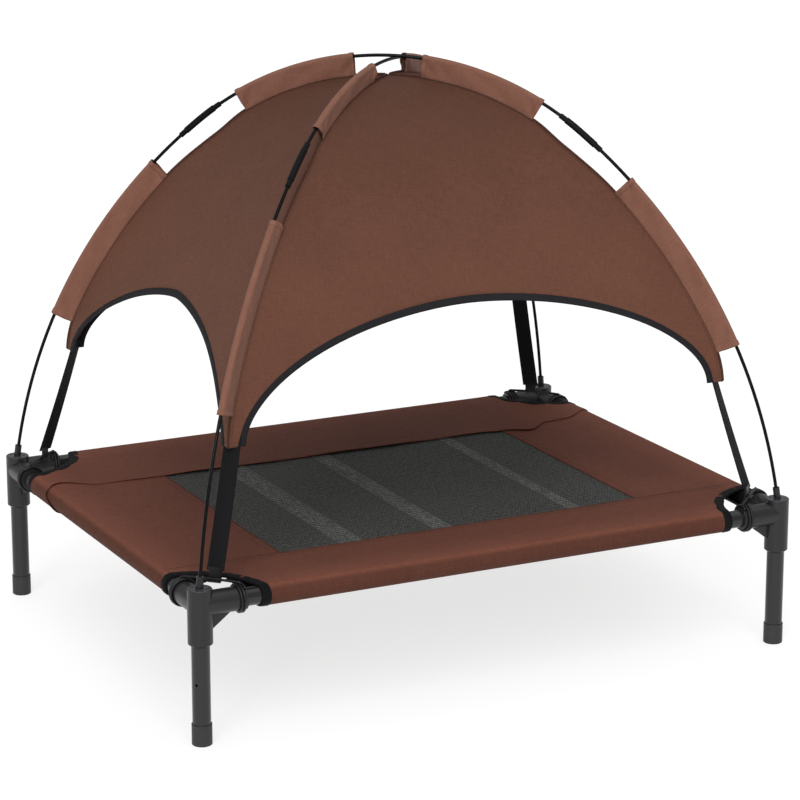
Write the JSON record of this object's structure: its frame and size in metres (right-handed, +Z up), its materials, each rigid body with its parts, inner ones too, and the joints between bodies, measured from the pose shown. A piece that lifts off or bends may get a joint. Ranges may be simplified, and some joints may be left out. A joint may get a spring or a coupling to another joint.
{
  "type": "raised dog bed with canopy",
  "caption": "Raised dog bed: a black push-fit tube frame with a taut mesh and fabric deck, under an arched fabric canopy on crossed spring poles.",
  "frame": {"origin": "centre of the footprint on the floor, under the middle of the deck", "axes": "+X along the long side, +Y from front to rear across the short side, +Z up"},
  "size_m": [0.767, 0.601, 0.6874],
  "materials": {
    "connector": "fine matte moulding",
    "tube": "satin black powder coat",
    "foot_cap": "matte",
    "elastic": "braided black elastic",
    "sleeve_fabric": "woven polyester",
    "canopy_fabric": "woven polyester",
    "deck_fabric": "coarse woven polyester",
    "mesh": "open dark mesh",
    "band": "woven webbing",
    "webbing": "woven black webbing",
    "tape": "woven binding tape",
    "rod": "black glass-fibre rod",
    "ferrule": "satin black",
    "tip": "satin black",
    "hook": "moulded black"
  },
  "bodies": {
    "frame": {"connector_front_left": "connector", "elastic_loops_front_left": "elastic", "corner_tape_front_left": "tape", "connector_front_right": "connector", "elastic_loops_front_right": "elastic", "corner_tape_front_right": "tape", "connector_rear_left": "connector", "elastic_loops_rear_left": "elastic", "corner_tape_rear_left": "tape", "connector_rear_right": "connector", "elastic_loops_rear_right": "elastic", "corner_tape_rear_right": "tape", "rail_front": "tube", "rail_rear": "tube", "rail_left": "tube", "rail_right": "tube", "deck_front": "deck_fabric", "deck_rear": "deck_fabric", "deck_left": "deck_fabric", "deck_right": "deck_fabric", "deck_mesh": "mesh", "support_bands": "band"},
    "canopy": {"pole_sleeves_front_left": "sleeve_fabric", "pole_rod_front_left": "rod", "strap_front_left": "webbing", "pole_sleeves_front_right": "sleeve_fabric", "pole_rod_front_right": "rod", "strap_front_right": "webbing", "pole_sleeves_rear_left": "sleeve_fabric", "pole_rod_rear_left": "rod", "strap_rear_left": "webbing", "pole_sleeves_rear_right": "sleeve_fabric", "pole_rod_rear_right": "rod", "strap_rear_right": "webbing", "canopy_front": "canopy_fabric", "arch_binding_front": "tape", "canopy_rear": "canopy_fabric", "arch_binding_rear": "tape", "canopy_left": "canopy_fabric", "arch_binding_left": "tape", "canopy_right": "canopy_fabric", "arch_binding_right": "tape", "pole_rod_upper_crown": "rod", "pole_rod_lower_crown": "rod", "pole_ferrules": "ferrule", "pole_tips": "tip", "strap_hooks": "hook", "elastic_links": "elastic"},
    "leg_body_front_left": {"leg_front_left": "tube", "foot_cap_front_left": "foot_cap"},
    "leg_body_front_right": {"leg_front_right": "tube", "foot_cap_front_right": "foot_cap"},
    "leg_body_rear_left": {"leg_rear_left": "tube", "foot_cap_rear_left": "foot_cap"},
    "leg_body_rear_right": {"leg_rear_right": "tube", "foot_cap_rear_right": "foot_cap"}
  },
  "joints": [
    {"name": "canopy_lift", "type": "slide", "parent": "frame", "child": "canopy", "axis": [0, 0, 1], "range_m": [0, 0.04]},
    {"name": "leg_pull_front_left", "type": "slide", "parent": "frame", "child": "leg_body_front_left", "axis": [0, 0, -1], "range_m": [0, 0.03]},
    {"name": "leg_pull_front_right", "type": "slide", "parent": "frame", "child": "leg_body_front_right", "axis": [0, 0, -1], "range_m": [0, 0.03]},
    {"name": "leg_pull_rear_left", "type": "slide", "parent": "frame", "child": "leg_body_rear_left", "axis": [0, 0, -1], "range_m": [0, 0.03]},
    {"name": "leg_pull_rear_right", "type": "slide", "parent": "frame", "child": "leg_body_rear_right", "axis": [0, 0, -1], "range_m": [0, 0.03]}
  ]
}
